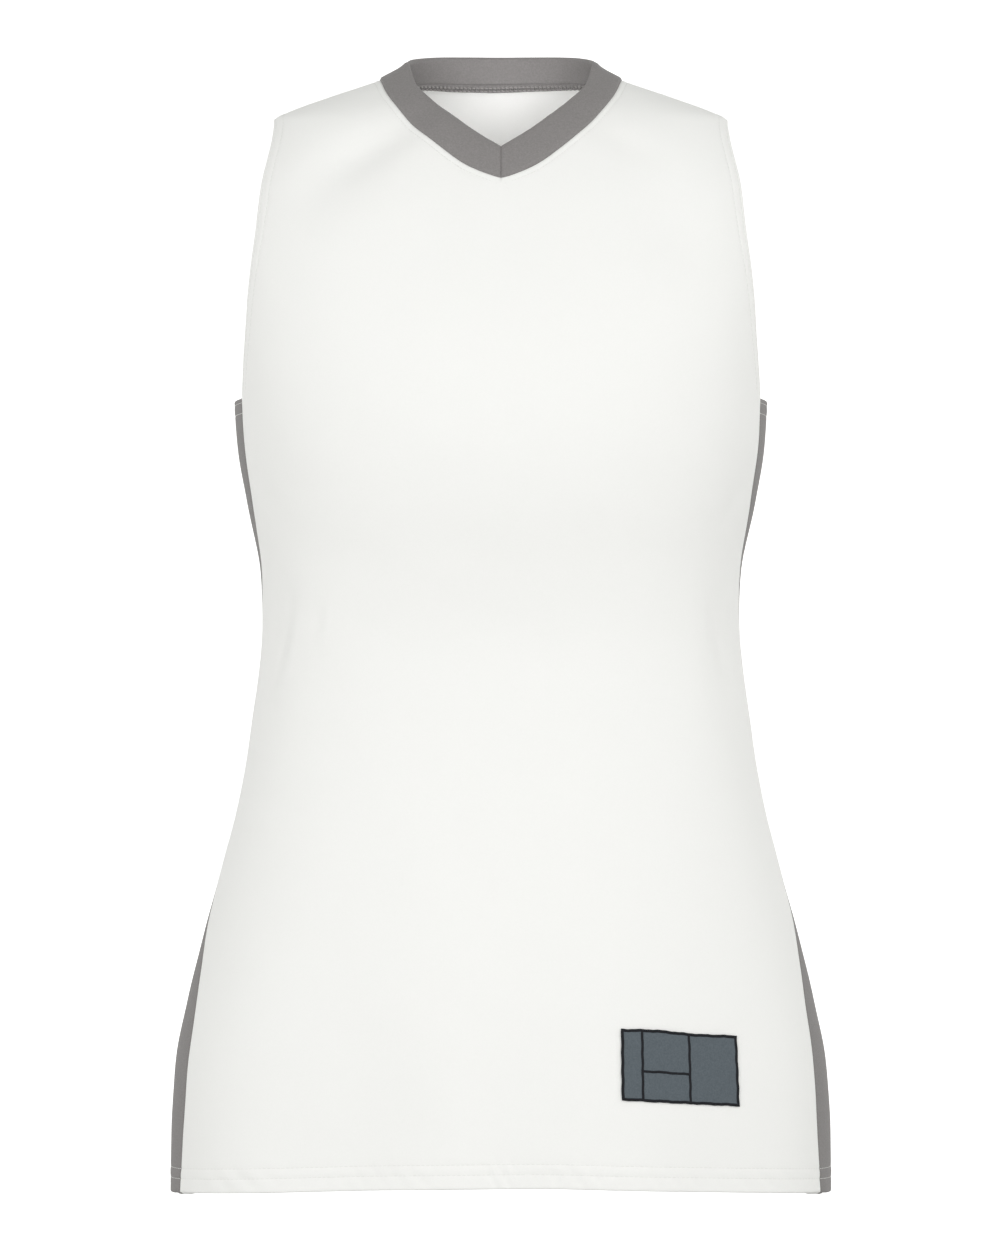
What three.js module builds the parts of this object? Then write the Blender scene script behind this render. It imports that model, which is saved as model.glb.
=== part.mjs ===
// A women's sleeveless V-neck basketball jersey, filled out as if it were worn, with nobody in it.
//
// Millimetres, +Z up, the front faces -Y and the wearer's left is +X. The origin lies midway between the
// two neck ends of the shoulder seams, where a wearer's shoulders carry the garment.
//
// The cloth lies on one smooth form, drawn as level rings. Each sewn piece is a region of that form,
// given by its seam lines, meshed in rows from hem to shoulder and made a thin closed wall.
import * as THREE from "three";

// Cloth
const CLOTH = 1.2;
const TURNED = 2.2;
const BAND_WALL = 2.4;
const PATCH_WALL = 1.0;
const SEAM_GAP = 0.3;

// Turned-under hems, and the short slope where the second layer ends
const HEM_TURN = 15.5;
const ARMHOLE_TURN = 10;
const TURN_SLOPE = 1.8;

// Hem heights under the shoulder point: the front rises over the fullness above it
const HEM_FRONT = -690;
const HEM_SEAM = -699.5;
const HEM_SIDE = -701.5;
const HEM_BACK = -695;

// Neckline
const V_POINT = -67.5;
const BACK_NECK = 1;
const BAND_SIDE_HEIGHT = 10.6;
const BAND_BACK_HEIGHT = 17.5;
const BAND_BACK_ROUND = 1.9;
const BAND_CROWN = 0.5;
const BAND_PROUD = 0.3;

// The underarm: how far the armhole dips between the two side seams
const ARMHOLE_DIP = -6.5;
const ARMHOLE_DIP_FADE = 90;

// Mesh counts
const COLUMNS = 13;
const SEAM_ROWS = 22;
const ARM_ROWS = 5;
const FRONT_NECK_ROWS = 9;
const BACK_NECK_ROWS = 8;
const SIDE_COLUMNS = 6;
const BAND_COLUMNS = 3;
const ROW_SAMPLES = 60;

const HALF_TURN = Math.PI;
const QUARTER_TURN = Math.PI / 2;
const DEGREE = Math.PI / 180;

// A short table with named columns, as a list of rows with those names.
function table(columns, rows) {
  const names = columns.split(" ");
  return rows.map((row) => Object.fromEntries(names.map((name, i) => [name, row[i]])));
}

// A smooth function through one column of a table, whose knot column ascends.
function smooth(rows, knot, column) {
  const steps = rows.slice(1).map((row, i) => row[knot] - rows[i][knot]);
  const rises = rows.slice(1).map((row, i) => (row[column] - rows[i][column]) / steps[i]);
  const slopes = rows.map((row, i) => {
    if (i === 0) return rises[0];
    if (i === rows.length - 1) return rises[i - 1];
    return (steps[i] * rises[i - 1] + steps[i - 1] * rises[i]) / (steps[i - 1] + steps[i]);
  });
  return (at) => {
    let i = 0;
    while (i < steps.length - 1 && at > rows[i + 1][knot]) i += 1;
    const s = THREE.MathUtils.clamp((at - rows[i][knot]) / steps[i], 0, 1);
    const [low, high] = [rows[i][column], rows[i + 1][column]];
    const bend = s * (1 - s) * steps[i];
    return low + (high - low) * s * s * (3 - 2 * s) + bend * (slopes[i] * (1 - s) - slopes[i + 1] * s);
  };
}

// The form's rings: half width, depth in front of and behind the shoulder line, and how square the
// ring is (2 is an ellipse). From the hip up: waist, chest, shoulder slope and the stand of the neck.
const RINGS = table("height side front back square", [
  [-703, 208.7, 122.5, 119.5, 2.3],
  [-650, 207.5, 122, 119, 2.3],
  [-613, 204.5, 121, 118.5, 2.3],
  [-580, 197.5, 119.5, 117, 2.3],
  [-545, 189, 116.5, 114, 2.3],
  [-500, 177, 111.5, 107, 2.35],
  [-450, 164.5, 106, 96, 2.4],
  [-400, 156.5, 102, 86, 2.4],
  [-350, 150.8, 102, 81.5, 2.4],
  [-310, 151.8, 109.5, 85, 2.35],
  [-265, 161, 120.5, 93, 2.35],
  [-235, 166, 124.5, 98, 2.4],
  [-203, 168, 124, 101, 2.5],
  [-170, 168.5, 118.8, 101.5, 2.7],
  [-110, 167, 99, 96, 3],
  [-60, 158.6, 76.5, 84, 3],
  [-44, 152, 67, 77.5, 2.9],
  [-30, 145, 56.5, 70, 2.8],
  [-25, 142.5, 52, 67.2, 2.7],
  [-20, 132, 47.5, 64, 2.6],
  [-11, 107.5, 38.5, 58, 2.4],
  [0, 76, 28.5, 50, 2.2],
  [5.5, 64.6, 26.4, 48.2, 2.2],
  [11, 59, 25, 47, 2.2],
  [20, 56.5, 24, 45.5, 2.2],
]);
const ringSide = smooth(RINGS, "height", "side");
const ringFront = smooth(RINGS, "height", "front");
const ringBack = smooth(RINGS, "height", "back");
const ringSquare = smooth(RINGS, "height", "square");

// Where the side panels' seams run, as depths on the form. The panel is narrow at the waist.
const SIDE_SEAMS = table("height front back", [
  [-700, -46, 48],
  [-650, -46, 48],
  [-600, -43, 46],
  [-558, -32, 44],
  [-520, -16, 42],
  [-480, -8, 40],
  [-420, -8, 38],
  [-340, -12, 36],
  [-297, -25, 36],
  [-265, -37, 38],
  [-235, -42, 38],
  [-197, -46, 38],
]);
const frontSeamDepth = smooth(SIDE_SEAMS, "height", "front");
const backSeamDepth = smooth(SIDE_SEAMS, "height", "back");

// The armhole seen from the side, from the front seam over the shoulder to the back seam.
const ARMHOLE = table("step depth height", [
  [0, -46, -197],
  [1, -53.5, -178],
  [2, -58.5, -150],
  [3, -59, -120],
  [4, -54.5, -90],
  [5, -44, -62],
  [6, -31, -41.5],
  [7, -16, -29.5],
  [8, 0, -25.5],
  [9, 14, -28.5],
  [10, 31, -40.5],
  [11, 45, -60],
  [12, 53, -88],
  [13, 56, -118],
  [14, 55, -148],
  [15, 48, -177],
  [16, 38, -197],
]);
const SHOULDER_STEP = 8;
const UNDERARM = ARMHOLE[0].height;

// The front neckline seen from the front, from the point of the V to the shoulder: the seam that
// joins the neckband to the panel, and the band's free edge.
const NECKLINE = table("step seamSide seamHeight edgeSide edgeHeight", [
  [0, 0, V_POINT, 0, -47.9],
  [1, 21, -58.6, 15, -38.4],
  [2, 37.7, -46.3, 30, -27.4],
  [3, 54.5, -31.3, 43, -16.6],
  [4, 69.3, -13.5, 53.5, -5.6],
  [5, 75.8, 0, 59.2, BAND_SIDE_HEIGHT],
]);

// Soft folds, as lines on the form: angles round from the front centre, heights, width and outward
// rise (a trough is negative).
const FOLDS = table("fromAngle fromHeight toAngle toHeight width rise", [
  [-54, -440, -62, -725, 30, 3.0],
  [-32, -470, -37, -725, 26, -2.2],
  [-12, -500, -13, -725, 26, 2.0],
  [13, -480, 16, -725, 24, -2.0],
  [36, -450, 39, -725, 28, 2.8],
  [60, -440, 63, -725, 26, -2.4],
  [-66, -300, -76, -430, 16, -2.0],
  [64, -290, 74, -420, 18, -1.8],
  [-60, -70, -38, -140, 18, 1.2],
  [118, -430, 121, -725, 28, 2.6],
  [143, -450, 147, -725, 28, -2.4],
  [170, -470, 171, -725, 28, 2.2],
  [-165, -450, -163, -725, 26, -2.0],
  [-138, -440, -135, -725, 28, 2.8],
  [-114, -450, -112, -725, 24, -2.0],
  [152, -330, 120, -375, 20, -2.4],
  [-150, -335, -118, -385, 20, -2.2],
]);
const FOLD_RADIUS = 150;

// A point of the form at an angle round from the front centre towards +X, at a height.
function onForm(angle, height) {
  const square = ringSquare(height);
  const depth = Math.cos(angle) > 0 ? ringFront(height) : ringBack(height);
  const across = (Math.abs(Math.sin(angle)) / ringSide(height)) ** square;
  const along = (Math.abs(Math.cos(angle)) / depth) ** square;
  const radius = (across + along) ** (-1 / square);
  return new THREE.Vector3(radius * Math.sin(angle), -radius * Math.cos(angle), height);
}

// The form's outward direction at one of its points: the gradient of the ring equation.
function outward(point) {
  const level = (x, y, z) => {
    const depth = y < 0 ? ringFront(z) : ringBack(z);
    const square = ringSquare(z);
    return (Math.abs(x) / ringSide(z)) ** square + (Math.abs(y) / depth) ** square;
  };
  const step = 0.25;
  const { x, y, z } = point;
  return new THREE.Vector3(
    level(x + step, y, z) - level(x - step, y, z),
    level(x, y + step, z) - level(x, y - step, z),
    level(x, y, z + step) - level(x, y, z - step),
  ).normalize();
}

// How far the folds move the cloth outwards at a place on the form.
function drape(angle, height) {
  let total = 0;
  for (const fold of FOLDS) {
    const turn = (a) => THREE.MathUtils.euclideanModulo(a + HALF_TURN, 2 * HALF_TURN) - HALF_TURN;
    const across = turn((fold.toAngle - fold.fromAngle) * DEGREE) * FOLD_RADIUS;
    const down = fold.toHeight - fold.fromHeight;
    const x = turn(angle - fold.fromAngle * DEGREE) * FOLD_RADIUS;
    const z = height - fold.fromHeight;
    const share = THREE.MathUtils.clamp((x * across + z * down) / (across ** 2 + down ** 2), 0, 1);
    const away = Math.hypot(x - share * across, z - share * down) / fold.width;
    total += fold.rise * foldReach(fold, share) * Math.exp(-away * away);
  }
  return total;
}

// Folds that run out through the hem stay open there; the others fade at both ends.
function foldReach(fold, share) {
  return Math.sin(share * (fold.toHeight < HEM_SIDE ? QUARTER_TURN : HALF_TURN)) ** 2;
}

// The angle of the form's point at a depth, on the wearer's left.
function angleAtDepth(depth, height) {
  const reach = depth < 0 ? ringFront(height) : ringBack(height);
  const square = ringSquare(height);
  const side = ringSide(height) * (1 - (Math.abs(depth) / reach) ** square) ** (1 / square);
  return Math.atan2(side, -depth);
}

// The angle of the form's front point at a distance from the centre line.
function angleAtSide(side, height) {
  const square = ringSquare(height);
  const share = Math.min(side / ringSide(height), 1);
  return Math.atan2(side, ringFront(height) * (1 - share ** square) ** (1 / square));
}

const lerp = THREE.MathUtils.lerp;
const place = (angle, height) => ({ angle, height });
const pointOf = ({ angle, height }) => onForm(angle, height);

// Places at given distances along a line of places. A negative distance counts back from its end.
function placesAt(line, distances) {
  const lengths = [0];
  for (let i = 1; i < line.length; i += 1) {
    lengths.push(lengths[i - 1] + pointOf(line[i]).distanceTo(pointOf(line[i - 1])));
  }
  const whole = lengths[lengths.length - 1];
  return distances(whole).map((wanted) => {
    let i = 1;
    while (i < lengths.length - 1 && lengths[i] < wanted) i += 1;
    const share = (wanted - lengths[i - 1]) / (lengths[i] - lengths[i - 1]);
    return place(
      lerp(line[i - 1].angle, line[i].angle, share),
      lerp(line[i - 1].height, line[i].height, share),
    );
  });
}

const evenly = (count) => (whole) => Array.from({ length: count + 1 }, (_, i) => (whole * i) / count);

// A line of places between two ends. Its height leaves the first end level where the power is over 1.
function lineBetween(from, to, power) {
  return Array.from({ length: ROW_SAMPLES + 1 }, (_, i) => {
    const share = i / ROW_SAMPLES;
    return place(lerp(from.angle, to.angle, share), lerp(from.height, to.height, share ** power));
  });
}

// Even stations along part of the armhole.
function armholeStations(fromStep, toStep, count) {
  const depth = smooth(ARMHOLE, "step", "depth");
  const height = smooth(ARMHOLE, "step", "height");
  const line = Array.from({ length: ROW_SAMPLES + 1 }, (_, i) => {
    const step = lerp(fromStep, toStep, i / ROW_SAMPLES);
    const level = height(step);
    return place(angleAtDepth(depth(step), level), level);
  });
  return placesAt(line, evenly(count));
}

// Matching stations along the front neckline: the seam, and the band's free edge.
function frontNeckStations(count) {
  const read = (column) => smooth(NECKLINE, "step", column);
  const [seamSide, seamHeight] = [read("seamSide"), read("seamHeight")];
  const [edgeSide, edgeHeight] = [read("edgeSide"), read("edgeHeight")];
  const last = NECKLINE.length - 1;
  const line = (side, height) =>
    Array.from({ length: ROW_SAMPLES + 1 }, (_, i) => {
      const step = (last * i) / ROW_SAMPLES;
      const level = height(step);
      const angle = i === ROW_SAMPLES ? QUARTER_TURN : angleAtSide(side(step), level);
      return place(angle, level);
    });
  const seam = placesAt(line(seamSide, seamHeight), evenly(count));
  const edge = placesAt(line(edgeSide, edgeHeight), evenly(count));
  return { seam, edge };
}

// The same along the back neckline, from its centre to the shoulder. The band's edge runs flat across
// the back and turns down towards the shoulders.
function backNeckStations(count) {
  const line = (sideHeight, centreHeight, round) =>
    Array.from({ length: ROW_SAMPLES + 1 }, (_, i) => {
      const angle = lerp(HALF_TURN, QUARTER_TURN, i / ROW_SAMPLES);
      const share = 1 - (1 - Math.sin(angle - QUARTER_TURN)) ** round;
      return place(angle, lerp(sideHeight, centreHeight, share));
    });
  const seam = placesAt(line(0, BACK_NECK, 1), evenly(count));
  const edge = placesAt(line(BAND_SIDE_HEIGHT, BAND_BACK_HEIGHT, BAND_BACK_ROUND), evenly(count));
  return { seam, edge };
}

// Heights of the rows along the side seams, hem first. The first rows mark where the hem's turned layer ends.
const SEAM_LEVELS = (() => {
  const low = HEM_SEAM + HEM_TURN + TURN_SLOPE;
  const plain = Array.from({ length: SEAM_ROWS + 1 }, (_, i) => lerp(low, UNDERARM, i / SEAM_ROWS));
  return [HEM_SEAM, HEM_SEAM + HEM_TURN, ...plain];
})();
const HEM_ROWS = 2;

// The side panels also have rows where the armhole's turned layer ends.
const SIDE_LEVELS = [
  ...SEAM_LEVELS.slice(0, -1),
  UNDERARM - ARMHOLE_TURN - TURN_SLOPE,
  UNDERARM - ARMHOLE_TURN,
  UNDERARM,
];
const TOP_ROWS = 2;

// A place moved round the form by half a seam gap.
function inset(spot, direction) {
  const radius = Math.hypot(pointOf(spot).x, pointOf(spot).y);
  return place(spot.angle + (direction * SEAM_GAP) / 2 / radius, spot.height);
}

// Half of the front or the back, as rows of places from the centre line or neckline out to the edge.
function halfPanel(face) {
  const levels = SEAM_LEVELS.length;
  const armRows = ARM_ROWS + face.neck.length - 1;
  const arm = armholeStations(face.cornerStep, SHOULDER_STEP, armRows);
  const edges = SEAM_LEVELS.map((level) => place(angleAtDepth(face.seamDepth(level), level), level));
  edges.push(...arm.slice(1));
  const splitRow = levels - 1 + ARM_ROWS;
  const lastRow = edges.length - 1;
  const centreTop = face.neck[0].height - SEAM_GAP;
  const centreAt = (row) => {
    if (row < HEM_ROWS) return face.hem + (SEAM_LEVELS[row] - HEM_SEAM);
    const low = face.hem + HEM_TURN + TURN_SLOPE;
    const edgeSpan = edges[splitRow].height - edges[HEM_ROWS].height;
    return lerp(low, centreTop, (edges[row].height - edges[HEM_ROWS].height) / edgeSpan);
  };
  return edges.map((edge, row) => {
    const strap = Math.max(row - splitRow, 0) / (lastRow - splitRow);
    const start = strap > 0 ? face.neck[row - splitRow] : place(face.centre, centreAt(row));
    const isShoulder = row === lastRow;
    const from = isShoulder ? inset(start, face.away) : start;
    const to = row < levels || isShoulder ? inset(edge, face.away) : edge;
    const line = lineBetween(from, to, 2 - strap);
    const gap = strap > 0 ? SEAM_GAP : 0;
    const turn = ARMHOLE_TURN + TURN_SLOPE;
    const spots = placesAt(line, (whole) => [
      ...evenly(COLUMNS)(whole - turn - gap).map((along) => along + gap),
      whole - ARMHOLE_TURN,
      whole,
    ]);
    return spots.map((spot, column) => {
      const onArmhole = row >= levels - 1 && column > COLUMNS;
      return { ...spot, wall: row < HEM_ROWS || onArmhole ? TURNED : CLOTH };
    });
  });
}

// A sheet is a list of places, each with its wall and lift, and quads that face outwards.
function newSheet() {
  return { places: [], quads: [] };
}

function addPlace(sheet, spot) {
  sheet.places.push({ lift: 0, wall: CLOTH, ...spot });
  return sheet.places.length - 1;
}

// Quads between neighbouring rows of place numbers.
function addQuads(sheet, rows, flip) {
  for (let r = 1; r < rows.length; r += 1) {
    for (let c = 1; c < rows[r].length; c += 1) {
      const quad = [rows[r - 1][c - 1], rows[r - 1][c], rows[r][c], rows[r][c - 1]];
      sheet.quads.push(flip ? quad.reverse() : quad);
    }
  }
}

// The whole front or back: both halves share the centre line up to the neckline.
function panelSheet(face) {
  const half = halfPanel(face);
  const splitRow = SEAM_LEVELS.length - 1 + ARM_ROWS;
  const sheet = newSheet();
  const left = half.map((row) => row.map((spot) => addPlace(sheet, spot)));
  const right = half.map((row, r) =>
    row.map((spot, c) => {
      if (c === 0 && r <= splitRow) return left[r][0];
      return addPlace(sheet, { ...spot, angle: -spot.angle });
    }),
  );
  const isBack = face.centre !== 0;
  addQuads(sheet, left, isBack);
  addQuads(sheet, right, !isBack);
  return sheet;
}

// A side panel, from the front seam round to the back seam. The sign picks the wearer's left or right.
function sideSheet(sign) {
  const sheet = newSheet();
  const rows = SIDE_LEVELS.map((level, row) => {
    const front = inset(place(angleAtDepth(frontSeamDepth(level), level), level), 1);
    const back = inset(place(angleAtDepth(backSeamDepth(level), level), level), -1);
    const fade = Math.max(1 - (UNDERARM - level) / ARMHOLE_DIP_FADE, 0);
    const dip = ARMHOLE_DIP * fade * fade + (row < HEM_ROWS ? HEM_SIDE - HEM_SEAM : 0);
    const turned = row < HEM_ROWS || row >= SIDE_LEVELS.length - TOP_ROWS;
    return Array.from({ length: SIDE_COLUMNS + 1 }, (_, i) => {
      const share = i / SIDE_COLUMNS;
      const hump = 1 - (2 * share - 1) ** 2;
      const angle = lerp(front.angle, back.angle, share) * sign;
      return addPlace(sheet, { angle, height: level + dip * hump, wall: turned ? TURNED : CLOTH });
    });
  });
  addQuads(sheet, rows, sign < 0);
  return sheet;
}

// The neckband: one strip from the mitre at the point of the V, round the back, to the mitre again.
function bandSheet() {
  const front = frontNeckStations(FRONT_NECK_ROWS);
  const back = backNeckStations(BACK_NECK_ROWS);
  const seam = [...front.seam, ...back.seam.slice(0, -1).reverse()];
  const edge = [...front.edge, ...back.edge.slice(0, -1).reverse()];
  const sheet = newSheet();
  const strip = seam.map((start, i) => {
    const end = i === 0 ? inset(edge[i], 1) : edge[i];
    const from = i === 0 ? inset(start, 1) : start;
    const gap = SEAM_GAP / 2;
    const spots = placesAt(lineBetween(from, end, 1), (whole) =>
      evenly(BAND_COLUMNS)(whole - gap).map((along) => along + gap),
    );
    return spots.map((spot, c) => {
      const crown = BAND_CROWN * Math.sin((HALF_TURN * c) / BAND_COLUMNS);
      return { ...spot, wall: BAND_WALL, lift: BAND_PROUD + crown };
    });
  });
  const centreBack = strip.length - 1;
  const left = strip.map((row) => row.map((spot) => addPlace(sheet, spot)));
  const right = strip.map((row, r) =>
    row.map((spot, c) => {
      if (r === centreBack) return left[r][c];
      return addPlace(sheet, { ...spot, angle: -spot.angle });
    }),
  );
  addQuads(sheet, left, true);
  addQuads(sheet, right, false);
  return sheet;
}

// The sewn patch: its centre on the front, its size, its clockwise tilt, and how far its uprights lean
// in, for each millimetre up, with the flare of the skirt.
const PATCH = { side: 110.5, height: -617, width: 79, tall: 44, tilt: 4.1 * DEGREE, lean: -0.095 };
const PATCH_COLUMNS = 8;
const PATCH_ROWS = 4;
const PATCH_CLEARANCE = 0.45;

// A place moved round its ring by a distance on the cloth.
function walk(spot, distance) {
  const steps = 12;
  const nudge = 0.001;
  let moved = spot;
  for (let i = 0; i < steps; i += 1) {
    const next = place(moved.angle + nudge, moved.height);
    const rate = pointOf(next).distanceTo(pointOf(moved)) / nudge;
    moved = place(moved.angle + distance / steps / rate, moved.height);
  }
  return moved;
}

function patchSheet() {
  const sheet = newSheet();
  const rows = Array.from({ length: PATCH_ROWS + 1 }, (_, r) =>
    Array.from({ length: PATCH_COLUMNS + 1 }, (_, c) => {
      const across = (c / PATCH_COLUMNS - 0.5) * PATCH.width;
      const up = (r / PATCH_ROWS - 0.5) * PATCH.tall;
      const level = PATCH.height - across * Math.sin(PATCH.tilt) + up * Math.cos(PATCH.tilt);
      const centre = place(angleAtSide(PATCH.side + up * PATCH.lean, level), level);
      const spot = walk(centre, across * Math.cos(PATCH.tilt) + up * Math.sin(PATCH.tilt));
      return addPlace(sheet, { ...spot, wall: PATCH_WALL, lift: PATCH_CLEARANCE + PATCH_WALL });
    }),
  );
  addQuads(sheet, rows, false);
  return sheet;
}

// A sheet as a closed wall: outer faces, inner faces, and a strip along every free edge.
function wallGeometry(sheet) {
  const count = sheet.places.length;
  const positions = new Float32Array(count * 6);
  sheet.places.forEach((spot, i) => {
    const base = pointOf(spot);
    const normal = outward(base);
    const outer = base.clone().addScaledVector(normal, drape(spot.angle, spot.height) + spot.lift);
    outer.toArray(positions, i * 3);
    outer.addScaledVector(normal, -spot.wall).toArray(positions, (count + i) * 3);
  });
  const faces = [];
  const free = new Map();
  for (const quad of sheet.quads) {
    const [a, b, c, d] = quad;
    faces.push(a, b, c, a, c, d);
    faces.push(count + a, count + c, count + b, count + a, count + d, count + c);
    quad.forEach((from, i) => {
      const to = quad[(i + 1) % quad.length];
      if (!free.delete(`${to} ${from}`)) free.set(`${from} ${to}`, [from, to]);
    });
  }
  for (const [from, to] of free.values()) {
    faces.push(from, count + from, count + to, from, count + to, to);
  }
  const geometry = new THREE.BufferGeometry();
  geometry.setAttribute("position", new THREE.BufferAttribute(positions, 3));
  geometry.setIndex(faces);
  geometry.computeVertexNormals();
  return geometry;
}

const white = new THREE.MeshStandardMaterial({ color: 0xf3f3f1, roughness: 0.72, metalness: 0 });
const grey = new THREE.MeshStandardMaterial({ color: 0x858182, roughness: 0.8, metalness: 0 });
const slate = new THREE.MeshStandardMaterial({ color: 0x6a7076, roughness: 0.75, metalness: 0 });

const FRONT = {
  centre: 0,
  away: -1,
  hem: HEM_FRONT,
  cornerStep: 0,
  seamDepth: frontSeamDepth,
  neck: frontNeckStations(FRONT_NECK_ROWS).seam,
};
const BACK = {
  centre: HALF_TURN,
  away: 1,
  hem: HEM_BACK,
  cornerStep: ARMHOLE.length - 1,
  seamDepth: backSeamDepth,
  neck: backNeckStations(BACK_NECK_ROWS).seam,
};

const jersey = new THREE.Group();

function sew(name, sheet, material) {
  const mesh = new THREE.Mesh(wallGeometry(sheet), material);
  mesh.name = name;
  jersey.add(mesh);
}

sew("front", panelSheet(FRONT), white);
sew("back", panelSheet(BACK), white);
sew("side_left", sideSheet(1), grey);
sew("side_right", sideSheet(-1), grey);
sew("neckband", bandSheet(), grey);
sew("label", patchSheet(), slate);

export default jersey;
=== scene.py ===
# %% [markdown]
# # A basketball jersey, filled out as if it were worn
# The garment is sewn from four knit panels and a doubled neckband, with turned hems and a woven patch.
# It could be draped by a cloth simulation, but the photograph shows smooth cloth held out evenly, so
# each sheet is laid on one smooth form, the same form that the solids use.
# Everything is worked out in millimetres, with +Z up and the front facing -Y, and made in metres.

import math

import bmesh
import bpy
import numpy as np
from mathutils import Matrix, Vector


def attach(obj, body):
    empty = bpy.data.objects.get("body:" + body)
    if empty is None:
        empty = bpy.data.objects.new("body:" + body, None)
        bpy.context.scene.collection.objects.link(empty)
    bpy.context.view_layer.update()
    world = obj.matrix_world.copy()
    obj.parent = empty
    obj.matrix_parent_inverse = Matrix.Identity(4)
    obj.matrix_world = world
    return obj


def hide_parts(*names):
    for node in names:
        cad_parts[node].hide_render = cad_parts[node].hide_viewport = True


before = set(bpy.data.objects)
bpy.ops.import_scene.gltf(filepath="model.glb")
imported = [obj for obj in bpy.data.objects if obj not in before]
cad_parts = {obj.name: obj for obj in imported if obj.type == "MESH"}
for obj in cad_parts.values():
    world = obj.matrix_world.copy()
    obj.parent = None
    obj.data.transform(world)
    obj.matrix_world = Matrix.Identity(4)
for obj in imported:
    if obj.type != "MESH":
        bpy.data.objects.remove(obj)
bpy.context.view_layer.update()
MM = 0.001
TURN = math.pi / 2
print("solids:", sorted(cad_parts))

# %% [markdown]
# ## The form
# Level rings give the filled-out shape: half width, depth in front and behind, and how square each is.
# A smooth curve through each column of the table gives every ring in between.

# %% Tables and smooth curves
def table(names, rows):
    """A short table with named columns."""
    return dict(zip(names.split(), np.array(rows, float).T))


def smooth(columns, knot, name):
    """A smooth function through one column of a table, whose knot column ascends."""
    x, y = columns[knot], columns[name]
    step = np.diff(x)
    rise = np.diff(y) / step
    inner = (step[1:] * rise[:-1] + step[:-1] * rise[1:]) / (step[:-1] + step[1:])
    slope = np.concatenate([rise[:1], inner, rise[-1:]])

    def at(value):
        value = np.asarray(value, float)
        i = np.clip(np.searchsorted(x, value, side="right") - 1, 0, len(step) - 1)
        s = np.clip((value - x[i]) / step[i], 0, 1)
        bend = s * (1 - s) * step[i] * (slope[i] * (1 - s) - slope[i + 1] * s)
        return y[i] + (y[i + 1] - y[i]) * s * s * (3 - 2 * s) + bend

    return at


# %% Rings of the form, from hip to neck
RINGS = table("height side front back square", [
    [-703, 208.7, 122.5, 119.5, 2.3],
    [-650, 207.5, 122, 119, 2.3],
    [-613, 204.5, 121, 118.5, 2.3],
    [-580, 197.5, 119.5, 117, 2.3],
    [-545, 189, 116.5, 114, 2.3],
    [-500, 177, 111.5, 107, 2.35],
    [-450, 164.5, 106, 96, 2.4],
    [-400, 156.5, 102, 86, 2.4],
    [-350, 150.8, 102, 81.5, 2.4],
    [-310, 151.8, 109.5, 85, 2.35],
    [-265, 161, 120.5, 93, 2.35],
    [-235, 166, 124.5, 98, 2.4],
    [-203, 168, 124, 101, 2.5],
    [-170, 168.5, 118.8, 101.5, 2.7],
    [-110, 167, 99, 96, 3],
    [-60, 158.6, 76.5, 84, 3],
    [-44, 152, 67, 77.5, 2.9],
    [-30, 145, 56.5, 70, 2.8],
    [-25, 142.5, 52, 67.2, 2.7],
    [-20, 132, 47.5, 64, 2.6],
    [-11, 107.5, 38.5, 58, 2.4],
    [0, 76, 28.5, 50, 2.2],
    [5.5, 64.6, 26.4, 48.2, 2.2],
    [11, 59, 25, 47, 2.2],
    [20, 56.5, 24, 45.5, 2.2],
])
ring_side, ring_front, ring_back, ring_square = [
    smooth(RINGS, "height", name) for name in ("side", "front", "back", "square")]


def on_form(angle, height):
    """Points of the form at angles round from the front centre towards +X, at heights."""
    angle, height = np.broadcast_arrays(np.asarray(angle, float), np.asarray(height, float))
    square = ring_square(height)
    depth = np.where(np.cos(angle) > 0, ring_front(height), ring_back(height))
    across = (np.abs(np.sin(angle)) / ring_side(height)) ** square
    along = (np.abs(np.cos(angle)) / depth) ** square
    radius = (across + along) ** (-1 / square)
    return np.stack([radius * np.sin(angle), -radius * np.cos(angle), height], -1)


def ring_level(x, y, z):
    """1 on the form, less inside it and more outside."""
    depth = np.where(y < 0, ring_front(z), ring_back(z))
    square = ring_square(z)
    return (np.abs(x) / ring_side(z)) ** square + (np.abs(y) / depth) ** square


def outward(points):
    """The form's outward direction at its points."""
    x, y, z = np.moveaxis(points, -1, 0)
    h = 0.25
    slope = np.stack([
        ring_level(x + h, y, z) - ring_level(x - h, y, z),
        ring_level(x, y + h, z) - ring_level(x, y - h, z),
        ring_level(x, y, z + h) - ring_level(x, y, z - h),
    ], -1)
    return slope / np.linalg.norm(slope, axis=-1, keepdims=True)


def moved_out(angle, height, lift):
    """Points of the form, each moved outwards by its lift."""
    base = on_form(angle, height)
    return base + outward(base) * lift[..., None]


print("chest round the form:", round(float(np.linalg.norm(np.diff(
    on_form(np.linspace(0, 2 * math.pi, 400), -235), axis=0), axis=1).sum())), "mm")

# %% [markdown]
# ## Seam lines
# The pattern pieces meet along the side seams, the shoulder seams and the neckline. The same lines
# bound the solids, so each sheet lies where its solid does. Two places were moved here alone to follow
# the photograph: the front seams near the hem by 4.5 mm, and the underarm corners by 5.5 mm.

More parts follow.
